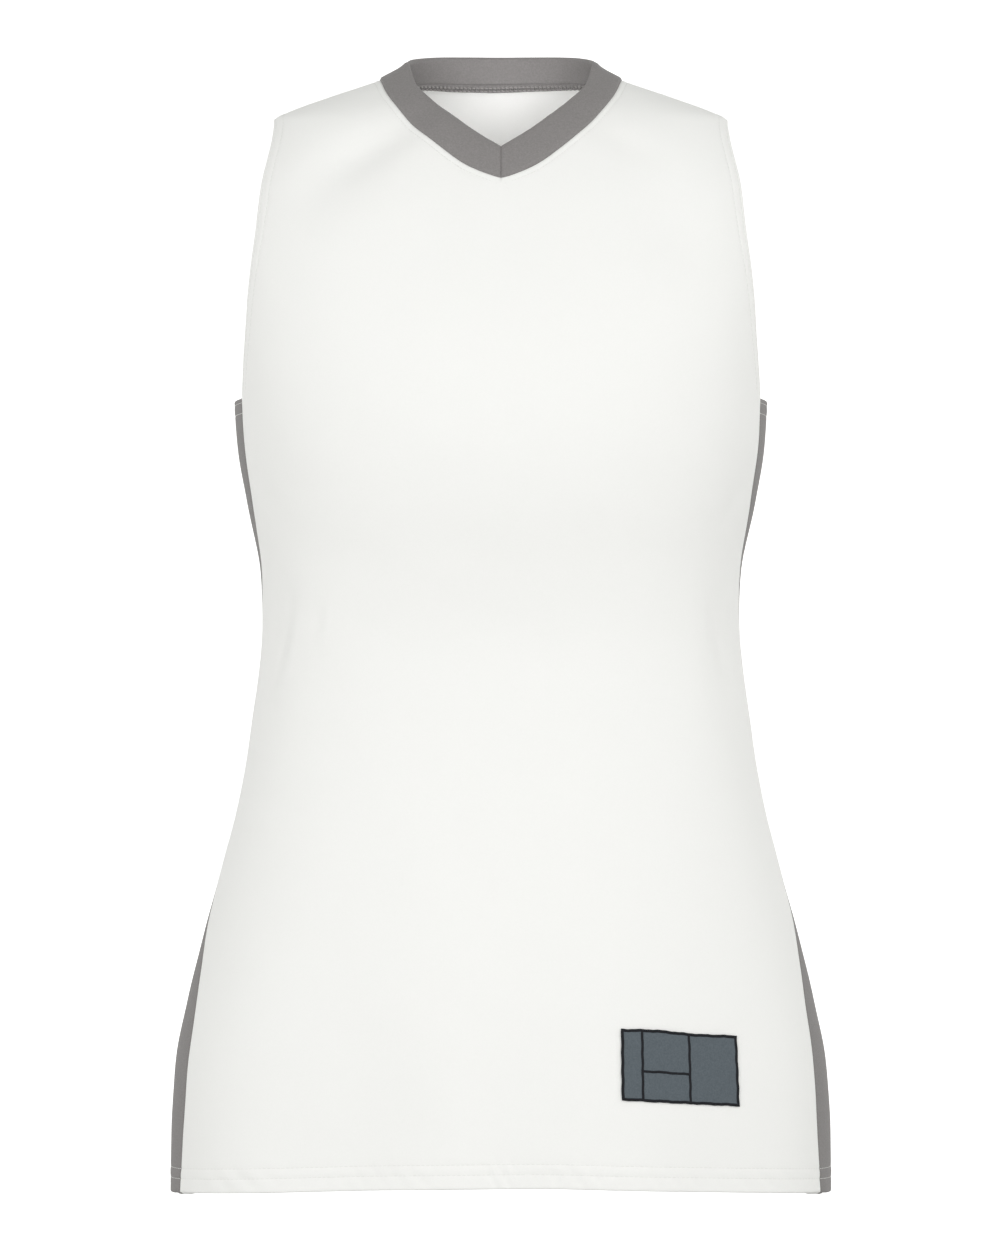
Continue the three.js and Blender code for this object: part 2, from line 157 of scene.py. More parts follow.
# %% Side seams, armhole and neckline
SIDE_SEAMS = table("height front back", [
    [-700, -41.5, 48],
    [-650, -45, 48],
    [-600, -43, 46],
    [-558, -32, 44],
    [-520, -16, 42],
    [-480, -8, 40],
    [-420, -8, 38],
    [-340, -12, 36],
    [-297, -25, 36],
    [-265, -37, 38],
    [-235, -42, 38],
    [-197, -46, 38],
])
ARMHOLE = table("step depth height", [
    [0, -45.4, -202.5],
    [1, -53.5, -178],
    [2, -58.5, -150],
    [3, -59, -120],
    [4, -54.5, -90],
    [5, -44, -62],
    [6, -31, -41.5],
    [7, -16, -29.5],
    [8, 0, -25.5],
    [9, 14, -28.5],
    [10, 31, -40.5],
    [11, 45, -60],
    [12, 53, -88],
    [13, 56, -118],
    [14, 55, -148],
    [15, 48, -177],
    [16, 38, -202.5],
])
NECKLINE = table("step seam_side seam_height edge_side edge_height", [
    [0, 0, -67.5, 0, -47.9],
    [1, 21, -58.6, 15, -38.4],
    [2, 37.7, -46.3, 30, -27.4],
    [3, 54.5, -31.3, 43, -16.6],
    [4, 69.3, -13.5, 53.5, -5.6],
    [5, 75.8, 0, 59.2, 10.6],
])
UNDERARM = -202.5
HEM_SEAM = -699.5
HEM_CENTRE = {"front": -690, "back": -695}
HEM_SIDE_DROP = -2
ARMHOLE_DIP = -1.3
FRONT_NECK = -67.5
BACK_NECK = 1
# Height at the shoulder, height at the centre back, and how round the line between them is
BACK_NECK_LINES = {"seam": (0, BACK_NECK, 1), "edge": (10.6, 17.5, 1.9)}
SHOULDER_STEP = 8


def angle_at_depth(depth, height):
    """The angle of the form's point at a depth, on the wearer's left."""
    reach = np.where(np.asarray(depth) < 0, ring_front(height), ring_back(height))
    square = ring_square(height)
    side = ring_side(height) * (1 - (np.abs(depth) / reach) ** square) ** (1 / square)
    return np.arctan2(side, -np.asarray(depth, float))


def angle_at_side(side, height):
    """The angle of the form's front point at a distance from the centre line."""
    square = ring_square(height)
    share = np.clip(np.asarray(side, float) / ring_side(height), 0, 1)
    return np.arctan2(side, ring_front(height) * (1 - share ** square) ** (1 / square))


# %% Even stations along a line on the form
def lengths(points):
    """Distance along a line of points, from its first one."""
    return np.concatenate([[0], np.cumsum(np.linalg.norm(np.diff(points, axis=0), axis=1))])


def places_at(angles, heights, wanted):
    """Angles and heights at the wanted distances along a line of places on the form."""
    along = lengths(on_form(angles, heights))
    return np.interp(wanted, along, angles), np.interp(wanted, along, heights)


def shares_of(angles, heights, shares):
    """The same, at shares of the line's whole length."""
    whole = lengths(on_form(angles, heights))[-1]
    return places_at(angles, heights, np.asarray(shares) * whole)


def armhole(from_step, to_step, shares):
    """Places along part of the armhole."""
    steps = np.linspace(from_step, to_step, 200)
    height = smooth(ARMHOLE, "step", "height")(steps)
    depth = smooth(ARMHOLE, "step", "depth")(steps)
    return shares_of(angle_at_depth(depth, height), height, shares)


def front_neck(which, shares):
    """Places along the front neckline's seam or edge, from the V to the shoulder."""
    steps = np.linspace(0, 5, 200)
    height = smooth(NECKLINE, "step", which + "_height")(steps)
    angle = angle_at_side(smooth(NECKLINE, "step", which + "_side")(steps), height)
    angle[-1] = TURN
    return shares_of(angle, height, shares)


def back_neck(which, shares):
    """Places along the back neckline's seam or edge, from the centre back to the shoulder."""
    angle = np.linspace(math.pi, TURN, 200)
    side, centre, power = BACK_NECK_LINES[which]
    rise = 1 - (1 - np.sin(angle - TURN)) ** power
    return shares_of(angle, side + (centre - side) * rise, shares)


NECK_LINE = {"front": front_neck, "back": back_neck}

# %% [markdown]
# ## Folds
# The skirt of the jersey hangs in soft flutes, and small creases run where the waist nips in. Each is
# a line on the form with a width and a rise, and the cloth is moved out or in around it.

# %% Soft folds, shared with the solids, and creases that only the cloth has
FOLDS = table("from_angle from_height to_angle to_height width rise", [
    [-54, -440, -62, -725, 30, 3],
    [-32, -470, -37, -725, 26, -2.2],
    [-12, -500, -13, -725, 26, 2],
    [13, -480, 16, -725, 24, -2],
    [36, -450, 39, -725, 28, 2.8],
    [60, -440, 63, -725, 26, -2.4],
    [-66, -300, -76, -430, 16, -2],
    [64, -290, 74, -420, 18, -1.8],
    [-60, -70, -38, -140, 18, 1.2],
    [118, -430, 121, -725, 28, 2.6],
    [143, -450, 147, -725, 28, -2.4],
    [170, -470, 171, -725, 28, 2.2],
    [-165, -450, -163, -725, 26, -2],
    [-138, -440, -135, -725, 28, 2.8],
    [-114, -450, -112, -725, 24, -2],
    [152, -330, 120, -375, 20, -2.4],
    [-150, -335, -118, -385, 20, -2.2],
])
# The first eight rows are broad troughs and swells, and the rest are narrow creases
CREASES = table("from_angle from_height to_angle to_height width rise", [
    [46, -430, 50, -725, 50, -4.4],
    [-45, -440, -48, -725, 48, -4.6],
    [-8, -400, -10, -725, 60, 3],
    [52, -30, 50, -150, 26, -3],
    [-52, -10, -58, -110, 24, -3.6],
    [-34, -24, -66, -66, 15, -2.4],
    [38, -28, 64, -60, 14, -1.6],
    [-60, -180, -64, -330, 40, -1.6],
    [-62, -312, -73, -392, 3.6, -1.1],
    [-60, -318, -70, -398, 5.0, 0.8],
    [-54, -322, -58, -362, 3.2, -0.8],
    [-52, -326, -55, -366, 4.5, 0.5],
    [63, -318, 72, -384, 4.2, -0.8],
    [60, -322, 69, -388, 5.5, 0.6],
    [-74, -235, -60, -292, 7.0, -1],
    [73, -240, 60, -300, 7.0, -0.9],
    [-44, -640, -41, -725, 9.0, 0.8],
    [25, -630, 27, -725, 9.0, 0.9],
    [3, -650, 2, -725, 8.0, -0.7],
    [-22, -655, -24, -725, 8.0, 0.7],
    [50, -646, 53, -725, 8.0, -0.7],
    [-70, -90, -52, -150, 8.0, -0.7],
    [66, -84, 48, -150, 8.0, 0.6],
    [22, -58, 34, -92, 6.0, 0.35],
    [-24, -60, -34, -96, 6.0, 0.35],
    [140, -345, 128, -362, 6.0, 0.9],
    [-141, -350, -126, -368, 6.0, 0.9],
    [160, -338, 134, -352, 5.0, -0.8],
    [-160, -342, -132, -356, 5.0, -0.8],
    [120, -120, 136, -205, 9.0, 0.8],
    [-121, -118, -138, -200, 9.0, 0.8],
])
FOLD_RADIUS = 150
HEM_BELOW = -701.5


def wrapped(angle):
    """An angle brought between minus and plus half a turn."""
    return np.mod(angle + math.pi, 2 * math.pi) - math.pi


def drape(angle, height, folds):
    """How far a table of folds moves the cloth outwards at places on the form."""
    total = np.zeros(np.broadcast(angle, height).shape)
    for a0, z0, a1, z1, width, rise in zip(*folds.values()):
        across = wrapped(math.radians(a1 - a0)) * FOLD_RADIUS
        down = z1 - z0
        x = wrapped(angle - math.radians(a0)) * FOLD_RADIUS
        z = height - z0
        share = np.clip((x * across + z * down) / (across ** 2 + down ** 2), 0, 1)
        away = np.hypot(x - share * across, z - share * down) / width
        reach = np.sin(share * (TURN if z1 < HEM_BELOW else math.pi)) ** 2
        total += rise * reach * np.exp(-away ** 2)
    return total


# %% Small uneven waves, so that no two stretches of cloth are alike
def ripple(angle, height, seed, size, rise):
    """A gentle unevenness of about that wave size, in millimetres, the same on every run."""
    rng = np.random.default_rng(seed)
    x, total = wrapped(angle) * FOLD_RADIUS, 0
    for _ in range(7):
        way, phase = rng.uniform(0, 2 * math.pi, 2)
        wave = size * rng.uniform(0.7, 1.5)
        total = total + np.sin(2 * math.pi * (x * math.cos(way) + height * math.sin(way)) / wave + phase)
    return total * rise / 7 ** 0.5


def relief(angle, height):
    """All the cloth's own folds, creases and unevenness."""
    fine = drape(angle, height, CREASES) + ripple(angle, height, 3, 55, 0.16)
    return drape(angle, height, FOLDS) + fine


# %% [markdown]
# ## A sheet of cloth
# Real hems are made by turning the cloth under, so each sheet is one surface that runs over the
# outside, round a small fold and back up inside. A grid is laid out, its points are placed by
# angle, height and layer, and a Solidify modifier gives the knit its thickness.

# %% Where an edge is turned under
KNIT = 0.85
LAYER = 1.8
FOLD = [(1, 0.854), (0, 0.5), (1, 0.146)]
EDGE_STATIONS = [0, 0.26, 0.9, 1.8, 2.4, 3.0, 3.6, 5, 6.8, 8.4, 9, 9.6, 10.2, 10.8, 12.6]
HEM_STATIONS = [
    0, 0.26, 0.9, 2.2, 3.8, 5.6, 7.2, 8.2, 8.9, 9.6, 10.6, 12.2, 13.6, 14.5, 15.2, 15.9, 16.8]
EDGE_INNER = (2, 4, 6, 8, 10, 13)
HEM_INNER = (2, 4, 6, 8, 10, 12, 15)
EDGE_NEEDLES = (3.0, 9.6)
HEM_NEEDLES = (8.9, 15.2)


def folded(count, start=(), end=()):
    """The order in which stations are used where the ends are turned under, as (station, layer)."""
    first = [(i, 1.0) for i in reversed(start)] + FOLD if start else [(0, 0.0), (1, 0.0)]
    last = [(0, 0.0), (1, 0.0)]
    if end:
        last = [(i, 1.0) for i in reversed(end)] + FOLD
    middle = [(i, 0.0) for i in range(2, count - 2)]
    return first + middle + [(count - 1 - i, layer) for i, layer in reversed(last)]


def folded_grid(shape, row_ends, column_ends):
    """Which rows and columns of a grid are used, in order, and the layer of each."""
    rows, row_layer = zip(*folded(shape[0], *row_ends))
    columns, column_layer = zip(*folded(shape[1], *column_ends))
    return np.ix_(rows, columns), np.array(row_layer)[:, None], np.array(column_layer)[None]


def needle_dents(distance, needles, depth):
    """The cloth drawn in along the two needle lines, and a little raised between them."""
    total = 0
    for needle in needles:
        total = total - depth * np.exp(-((distance - needle) / 0.8) ** 2)
    middle, half = sum(needles) / 2, (needles[1] - needles[0]) / 2
    return total + 0.5 * depth * np.exp(-((distance - middle) / (0.8 * half)) ** 2)


# %% Laying grids of places into one mesh
def cloth_mesh():
    """An empty mesh with a UV layer for the cloth's own distances."""
    bm = bmesh.new()
    return bm, bm.loops.layers.uv.new("cloth")


def lay_grid(bm, uv, points, across, up):
    """Adds one grid of cloth points to a mesh, with its own distances across and up as UVs."""
    rows, columns = points.shape[:2]
    made = bmesh.ops.create_grid(bm, x_segments=columns - 1, y_segments=rows - 1, size=0.5)["verts"]
    where = {}
    for vert in made:
        column = round((vert.co.x + 0.5) * (columns - 1))
        row = round((vert.co.y + 0.5) * (rows - 1))
        where[vert] = (row, column)
        vert.co = points[row, column] * MM
    for face in {face for vert in made for face in vert.link_faces}:
        for loop in face.loops:
            row, column = where[loop.vert]
            loop[uv].uv = (across[row, column] * MM, up[row, column] * MM)


def new_piece(bm, name):
    """Turns a finished mesh into a smoothly shaded object in the scene."""
    mesh = bpy.data.meshes.new(name)
    bm.to_mesh(mesh)
    bm.free()
    mesh.shade_smooth()
    piece = bpy.data.objects.new(name, mesh)
    bpy.context.scene.collection.objects.link(piece)
    return piece


def finish_cloth(bm, name, thickness=KNIT):
    """Merges the joins, faces the cloth outwards and gives it its thickness."""
    bmesh.ops.remove_doubles(bm, verts=bm.verts, dist=1e-6)
    bmesh.ops.recalc_face_normals(bm, faces=bm.faces)
    bm.faces.ensure_lookup_table()
    centres = np.array([face.calc_center_median() for face in bm.faces]) / MM
    facing = np.einsum("ij,ij->i", outward(centres), np.array([face.normal for face in bm.faces]))
    if facing.sum() < 0:
        bmesh.ops.reverse_faces(bm, faces=bm.faces)
    area = sum(face.calc_area() for face in bm.faces)
    piece = new_piece(bm, name)
    wall = piece.modifiers.new("Knit thickness", "SOLIDIFY")
    wall.thickness = thickness * MM
    wall.offset = -1
    print(f"{name}: {len(piece.data.vertices)} points, cloth {area:.4f} square metres")
    return piece, area


# %% [markdown]
# ## Front and back
# Each panel is laid as two mirrored halves that share the centre line. Rows run level from the
# centre to the side seam; above the V they start on the neckline instead and end on the armhole.

# %% Rows of half a panel
MIDDLE_COLUMNS = 52
NECK_STATIONS = np.array([0, 0.8, 1.6, 2.8, 3.9, 4.6, 5.3, 6.6, 8.6])
SHOULDER_STATIONS = [0, 0.26, 0.9, 2.2, 4.0, 6.4, 9.0]
SHOULDER_INNER = (2, 3, 4, 5, 6)
TURN_SHARE = {"front": 5 / 14, "back": 5 / 13}
STRAP = 115
STRAP_STEPS = 34
HEM_ROWS_TOP = 17.3


def row_line(start, end, power):
    """A line of places from a row's start to its end, leaving the start level where power is over 1."""
    share = np.linspace(0, 1, 60)
    return start[0] + (end[0] - start[0]) * share, start[1] + (end[1] - start[1]) * share ** power


def half_rows(face):
    """Start, end and power of each row of half a panel, from the hem up, and its distance from the hem."""
    centre, corner = (0, 0) if face == "front" else (math.pi, 16)
    split = TURN_SHARE[face]
    seam_depth = smooth(SIDE_SEAMS, "height", face)
    rises = np.array(HEM_STATIONS + list(np.linspace(20, UNDERARM - HEM_SEAM, 132)))
    arm_share = np.linspace(0, split, 20)[1:]
    strap = np.concatenate([
        np.linspace(0, 1 - 12 / STRAP, STRAP_STEPS)[1:],
        1 - np.array(SHOULDER_STATIONS[::-1]) / STRAP,
    ])
    heights = HEM_SEAM + rises
    arm = armhole(corner, SHOULDER_STEP, arm_share)
    ends = list(zip(angle_at_depth(seam_depth(heights), heights), heights)) + list(zip(*arm))
    low, top = HEM_SEAM + HEM_ROWS_TOP, FRONT_NECK if face == "front" else BACK_NECK
    lift = HEM_CENTRE[face] - HEM_SEAM
    starts = []
    for _, height in ends:
        rise = (height - low) / (ends[-1][1] - low)
        starts.append((centre, height + lift if height <= low else low + lift + (top - low - lift) * rise))
    powers = [2.0] * len(ends)
    neck = NECK_LINE[face]("seam", strap)
    ends += list(zip(*armhole(corner, SHOULDER_STEP, split + (1 - split) * strap)))
    starts += list(zip(*neck))
    powers += list(2 - strap)
    return starts, ends, powers, rises


def neck_slant(face, starts, ends, power):
    """How much longer a row's steps are than the step square to the neckline that they make."""
    line = on_form(*row_line(starts, ends, power))
    way = (line[1] - line[0]) / np.linalg.norm(line[1] - line[0])
    seam = on_form(*NECK_LINE[face]("seam", np.linspace(0, 1, 120)))
    near = int(np.clip(np.argmin(np.linalg.norm(seam - line[0], axis=1)), 1, 118))
    along = (seam[near + 1] - seam[near - 1]) / np.linalg.norm(seam[near + 1] - seam[near - 1])
    return 1 / max(float(np.linalg.norm(np.cross(way, along))), 0.45)


def half_panel(face):
    """Angles, heights and distances of half a panel's grid."""
    starts, ends, powers, rises = half_rows(face)
    below = len(starts) - (STRAP_STEPS - 1 + len(SHOULDER_STATIONS))
    split_slant = neck_slant(face, starts[below - 1], ends[below - 1], 2)
    grid = {"angle": [], "height": [], "across": [], "from_edge": []}
    edge = np.array(EDGE_STATIONS)[::-1]
    for row, (start, end, power) in enumerate(zip(starts, ends, powers)):
        angles, heights = row_line(start, end, power)
        whole = lengths(on_form(angles, heights))[-1]
        slant = 1 + (split_slant - 1) * np.clip((row - len(rises)) / (below - len(rises)), 0, 1) ** 2
        if row >= below:
            slant = neck_slant(face, start, end, power)
        near = NECK_STATIONS * slant
        middle = np.linspace(near[-1], whole - edge[0], MIDDLE_COLUMNS + 1)[1:-1]
        along = np.concatenate([near, middle, whole - edge])
        angle, height = places_at(angles, heights, along)
        offset = lengths(on_form(np.linspace(starts[0][0], start[0], 40), start[1]))[-1]
        for key, values in (("angle", angle), ("height", height), ("across", along + offset)):
            grid[key].append(values)
        grid["from_edge"].append(whole - along)
    grid = {key: np.array(values) for key, values in grid.items()}
    steps = np.linalg.norm(np.diff(on_form(grid["angle"], grid["height"]), axis=0), axis=-1)
    grid["up"] = np.vstack([np.zeros(steps.shape[1]), np.cumsum(steps, axis=0)])
    grid["rows"] = len(rises)
    return grid


# %% How far points are from a line on the cloth
def distance_to(points, line):
    """The least distance from each point of a grid to a line of points."""
    flat = points.reshape(-1, 3)
    least = np.full(len(flat), 1e9)
    near = np.where(np.linalg.norm(flat - line.mean(0), axis=1) < 150)[0]
    for part in np.array_split(near, max(1, len(near) // 2000)):
        gaps = np.linalg.norm(flat[part, None] - line[None], axis=-1)
        least[part] = gaps.min(1)
    return least.reshape(points.shape[:-1])


# %% The turned hem puckers a little along its stitching
PUCKERS = table("angle width rise", [
    [-62, 8, 0.45],
    [-36, 7, 0.60],
    [-24, 5, 0.65],
    [-5, 5, 0.40],
    [9, 9, 0.75],
    [24, 8, 0.70],
    [44, 10, 0.55],
    [66, 8, 0.45],
    [128, 12, 0.40],
    [160, 12, 0.40],
    [-150, 14, 0.40],
    [-118, 10, 0.35],
])
PUCKER_WAVE = 15
PUCKER_SLANT = 0.9
PUCKER_MIDDLE, PUCKER_REACH = 8, 9


def hem_puckers(angle, from_hem):
    """Short slanting ripples in the hem, stronger in some stretches than in others."""
    around = wrapped(angle)
    strength = 0.05
    for middle, width, rise in zip(*PUCKERS.values()):
        away = wrapped(around - math.radians(middle)) / math.radians(width)
        strength = strength + rise * np.exp(-away ** 2)
    wave = 2 * math.pi * (around * FOLD_RADIUS * 1.2 + PUCKER_SLANT * from_hem) / PUCKER_WAVE
    height = np.exp(-((from_hem - PUCKER_MIDDLE) / PUCKER_REACH) ** 2)
    return strength * height * np.sin(wave + 1.3 * np.sin(around * 9))


# %% The front and the back
SEAM_DIP, SEAM_DIP_WIDTH = 0.75, 0.75
TOPSTITCH, TOPSTITCH_DIP, TOPSTITCH_WIDTH = 4.5, 0.22, 0.9
POINT_WIDTH = 5


def cut_size(width, length):
    """A sheet's flat size in metres, from millimetres."""
    print(f"  cut from {width:.0f} by {length:.0f} mm")
    return float(width) * MM, float(length) * MM


def panel(face, name):
    """The whole front or back, with its hem, armholes and shoulder seams turned under."""
    half = half_panel(face)
    pick, row_layer, column_layer = folded_grid(
        half["angle"].shape, (HEM_INNER, SHOULDER_INNER), ((), EDGE_INNER))
    angle, height = half["angle"][pick], half["height"][pick]
    from_edge, across, up = half["from_edge"][pick], half["across"][pick], half["up"][pick]
    from_hem = height - np.where(from_edge > 0, half["height"][0][pick[1]], HEM_SEAM)
    on_arm = pick[0] >= half["rows"] - 1
    bulk = np.clip((14 - from_edge) / 3, 0, 1)
    sunk = -LAYER * (row_layer + column_layer + row_layer * bulk)
    base = on_form(angle, height)
    seam = on_form(*NECK_LINE[face]("seam", np.linspace(0, 1, 400)))
    to_neck = distance_to(base, seam)
    from_point = 1 - np.exp(-(base[..., 0] / POINT_WIDTH) ** 2)
    sunk = sunk - SEAM_DIP * np.exp(-(to_neck / SEAM_DIP_WIDTH) ** 2) * from_point
    sunk = sunk - TOPSTITCH_DIP * np.exp(-((to_neck - TOPSTITCH) / TOPSTITCH_WIDTH) ** 2)
    sunk = sunk + np.where(on_arm, 1.0, 0.35) * needle_dents(from_edge, EDGE_NEEDLES, 0.2)
    sunk = sunk + needle_dents(from_hem, HEM_NEEDLES, 0.22)
    bm, uv = cloth_mesh()
    for side in (1, -1):
        lift = relief(side * angle, height) + hem_puckers(side * angle, from_hem) + sunk
        lay_grid(bm, uv, moved_out(side * angle, height, lift), side * across, up)
    piece, area = finish_cloth(bm, name)
    width = 2 * (half["across"].max() + EDGE_STATIONS[EDGE_INNER[-1]])
    length = half["up"].max() + HEM_STATIONS[HEM_INNER[-1]] + SHOULDER_STATIONS[SHOULDER_INNER[-1]]
    return piece, area, cut_size(width, length), half


front, front_area, front_cut, front_half = panel("front", "front_panel")
back, back_area, back_cut, back_half = panel("back", "back_panel")

# %% [markdown]
# ## Side panels
# A narrow grey panel runs from the armhole to the hem on each side. Both long edges are seam
# allowances pressed under, and the armhole and hem are turned and stitched like the rest.

# %% The side panels
SIDE_COLUMNS = 26
UNDERARM_FADE, HEM_FADE = 90, 50
SIDE_INNER = (2, 4, 6, 8)


def side_grid():
    """Angles, heights and distances of the left side panel's grid."""
    rises = list(HEM_STATIONS) + list(np.linspace(20, UNDERARM - HEM_SEAM - 14.6, 128))
    rises += [UNDERARM - HEM_SEAM - d for d in reversed(EDGE_STATIONS)]
    ends = np.array(EDGE_STATIONS[:9])
    grid = {"angle": [], "height": [], "across": []}
    for rise in rises:
        level = HEM_SEAM + rise
        a0 = float(angle_at_depth(smooth(SIDE_SEAMS, "height", "front")(level), level))
        a1 = float(angle_at_depth(smooth(SIDE_SEAMS, "height", "back")(level), level))
        angles = np.linspace(a0, a1, 60)
        whole = lengths(on_form(angles, level))[-1]
        middle = np.linspace(ends[-1], whole - ends[-1], SIDE_COLUMNS)[1:-1]
        along = np.concatenate([ends, middle, whole - ends[::-1]])
        angle = np.interp(along, lengths(on_form(angles, level)), angles)
        hump = 1 - (2 * (angle - a0) / (a1 - a0) - 1) ** 2
        fade = max(1 - (UNDERARM - level) / UNDERARM_FADE, 0) ** 2
        drop = ARMHOLE_DIP * fade + HEM_SIDE_DROP * max(1 - rise / HEM_FADE, 0) ** 2
        grid["angle"].append(angle)
        grid["height"].append(level + drop * hump)
        grid["across"].append(along - whole / 2)
    grid = {key: np.array(values) for key, values in grid.items()}
    across = grid["across"]
    grid["from_edge"] = np.minimum(across - across[:, :1], across[:, -1:] - across)
    grid["up"] = np.repeat(np.array(rises)[:, None], grid["angle"].shape[1], 1)
    return grid


def side_panel(side, name):
    """The left (1) or right (-1) side panel."""
    grid = side_grid()
    pick, row_layer, column_layer = folded_grid(
        grid["angle"].shape, (HEM_INNER, EDGE_INNER), (SIDE_INNER, SIDE_INNER))
    angle, height = side * grid["angle"][pick], grid["height"][pick]
    up, from_edge = grid["up"][pick], grid["from_edge"][pick]
    sunk = -LAYER * (row_layer + column_layer + row_layer * np.clip((12 - from_edge) / 3, 0, 1))
    sunk = sunk + needle_dents(up, HEM_NEEDLES, 0.22) + hem_puckers(angle, up)
    sunk = sunk + needle_dents(up.max() - up, EDGE_NEEDLES, 0.2)
    place = moved_out(angle, height, relief(angle, height) + sunk)
    bm, uv = cloth_mesh()
    lay_grid(bm, uv, place, side * grid["across"][pick], up)
    piece, area = finish_cloth(bm, name)
    width = np.ptp(grid["across"], axis=1).max() + 2 * EDGE_STATIONS[8]
    length = up.max() + HEM_STATIONS[HEM_INNER[-1]] + EDGE_STATIONS[EDGE_INNER[-1]]
    return piece, area, cut_size(width, length), grid


side_left, side_area, side_cut, side_half = side_panel(1, "side_panel_left")
side_right, *_ = side_panel(-1, "side_panel_right")

# %% [markdown]
# ## Neckband
# One long strip is folded lengthwise, sewn to the neckline and mitred at the point of the V. Its
# section runs up the outside, over the top fold, down inside, and on as the seam allowance that
# shows below the collar at the back.

# %% The neckband
BAND_PROUD = 0.35
BAND_CROWN = 0.5
BAND_OUTER = [0, 0.5, 1.2, 2.2]
INSIDE_FROM = 3.4
GROOVE = [(2.6, 0.98), (2.2, 0.6), (1.7, 0.6)]
ALLOWANCE = [
    (1.35, 1.1), (0.7, 1.24), (0, 1.22), (-0.5, 0.98),
    (-0.9, 0.98), (-1.2, 1.2), (-1.9, 1.28), (-2.5, 1.2),
]
BAND_SEAM_DIP, MITRE_DIP = 1.3, 1.2
SAG_ANGLE = 1.05 * math.pi
SAG, SAG_SPREAD = 1.2, 0.6


def band_section(whole):
    """Distances up from the neck seam and layers, right round the band's section."""
    middle = np.linspace(0.2, 0.8, 6) * whole
    outside = [(d, 0) for d in [*BAND_OUTER, *middle, whole - 2.4, whole - 0.9]]
    fold = [(whole - 0.26, 0.146), (whole, 0.5), (whole - 0.26, 0.854)]
    inside = [(d, 1) for d in [whole - 0.9, *np.linspace(whole - 2.4, INSIDE_FROM, 8)]]
    return np.array(outside + fold + inside + GROOVE + ALLOWANCE)


def neck_stations():
    """Seam and edge places round the left half of the neck, from the V to the centre back."""
    front_share = np.concatenate([[0, 0.005, 0.012, 0.022], np.linspace(0.04, 1, 46)])
    back_share = np.linspace(1, 0, 42)[1:]
    places = []
    for which in ("seam", "edge"):
        front_places = front_neck(which, front_share)
        back_places = back_neck(which, back_share)
        places.append([np.concatenate(pair) for pair in zip(front_places, back_places)])
    return places


def band_grid():
    """The band's grid of places, section by column, for the whole loop from the V round to the V."""
    (seam_a, seam_z), (edge_a, edge_z) = neck_stations()
    columns = []
    for a0, z0, a1, z1 in zip(seam_a, seam_z, edge_a, edge_z):
        line = np.linspace(-0.5, 1, 60)
        angles, heights = a0 + (a1 - a0) * line, z0 + (z1 - z0) * line
        along = lengths(on_form(angles, heights))
        along = along - np.interp(0, line, along)
        section = band_section(along[-1])
        share = np.interp(section[:, 0], along, line)
        columns.append(np.stack([a0 + (a1 - a0) * share, z0 + (z1 - z0) * share,
                                 section[:, 0], section[:, 1], np.full(len(share), along[-1])]))
    left = np.array(columns)
    right = left[:-1][::-1].copy()
    right[:, 0] = 2 * math.pi - right[:, 0]
    return np.concatenate([left, right]).transpose(1, 2, 0)


def collar_sag(angle):
    """How far the inside of the collar sinks at the back, most just beside the centre."""
    return SAG * np.exp(-(wrapped(angle - SAG_ANGLE) / SAG_SPREAD) ** 2)


angle, height, up, layer, whole = band_grid()
height = height - collar_sag(angle) * (layer > 0.5) * np.clip((8 - up) / 3, 0, 1)
seam_row = int(np.argmin(np.abs(up[:, 0])))
around = lengths(on_form(angle[seam_row], height[seam_row]))
from_mitre = np.minimum(around, around[-1] - around)[None]
share = np.clip(up / whole, 0, 1)
lift = BAND_PROUD + BAND_CROWN * np.sin(math.pi * share) - LAYER * layer
lift = lift - BAND_SEAM_DIP * np.exp(-(up / 0.75) ** 2) * (layer < 0.1)
lift = lift - MITRE_DIP * np.exp(-(from_mitre / 0.6) ** 2) * (layer < 1.05)
lift = lift + ripple(angle, height, 11, 16, 0.07) + relief(angle, height)
bm, uv = cloth_mesh()
section_up = np.concatenate([[0], np.cumsum(np.abs(np.diff(up[:, 0])))])[:, None] + 0 * up
lay_grid(bm, uv, moved_out(angle, height, lift), np.repeat(around[None], len(up), 0), section_up)
neckband, band_area = finish_cloth(bm, "neckband_strip")
band_cut = cut_size(around[-1], section_up[-1, 0])

# %% [markdown]
# ## Stitching
# Each visible stitch is a short plump thread lying in the cloth. One low sphere, stretched along the
# seam and repeated, is enough at this size and keeps the face count small.

# %% Threads along a line of places
THREAD_ROUND, THREAD_LONG = 6, 4


def cloth_line(angles, heights, lift):
    """Points just above the cloth along a line of places, with the outward directions there."""
    base = on_form(angles, heights)
    away = outward(base)
    return base + away * (relief(angles, heights) + lift)[..., None], away


def stitch_row(bm, line, away, pitch=3.1, length=2.5, wide=0.42, tall=0.30):
    """Adds stitches of one length along a line of points."""
    row = bmesh.new()
    along = lengths(line)

    def at(values, where):
        return np.array([np.interp(where, along, values[:, k]) for k in range(3)])

    count = max(1, round(along[-1] / pitch))
    for middle in (np.arange(count) + 0.5) * along[-1] / count:
        ends = [at(line, middle + end * length / 2) for end in (-1, 1)]
        normal = at(away, middle)
        way = (ends[1] - ends[0]) / np.linalg.norm(ends[1] - ends[0])
        side = np.cross(normal, way)
        normal = np.cross(way, side)
        axes = np.eye(4)
        axes[:3, 0] = side * wide / 2 * MM
        axes[:3, 1] = normal * tall / 2 * MM
        axes[:3, 2] = way * length / 2 * MM
        axes[:3, 3] = (ends[0] + ends[1]) / 2 * MM
        bmesh.ops.create_uvsphere(
            row, u_segments=THREAD_ROUND, v_segments=THREAD_LONG, radius=1, matrix=Matrix(axes))
    mesh = bpy.data.meshes.new("stitch_row")
    row.to_mesh(mesh)
    row.free()
    bm.from_mesh(mesh)
    bpy.data.meshes.remove(mesh)


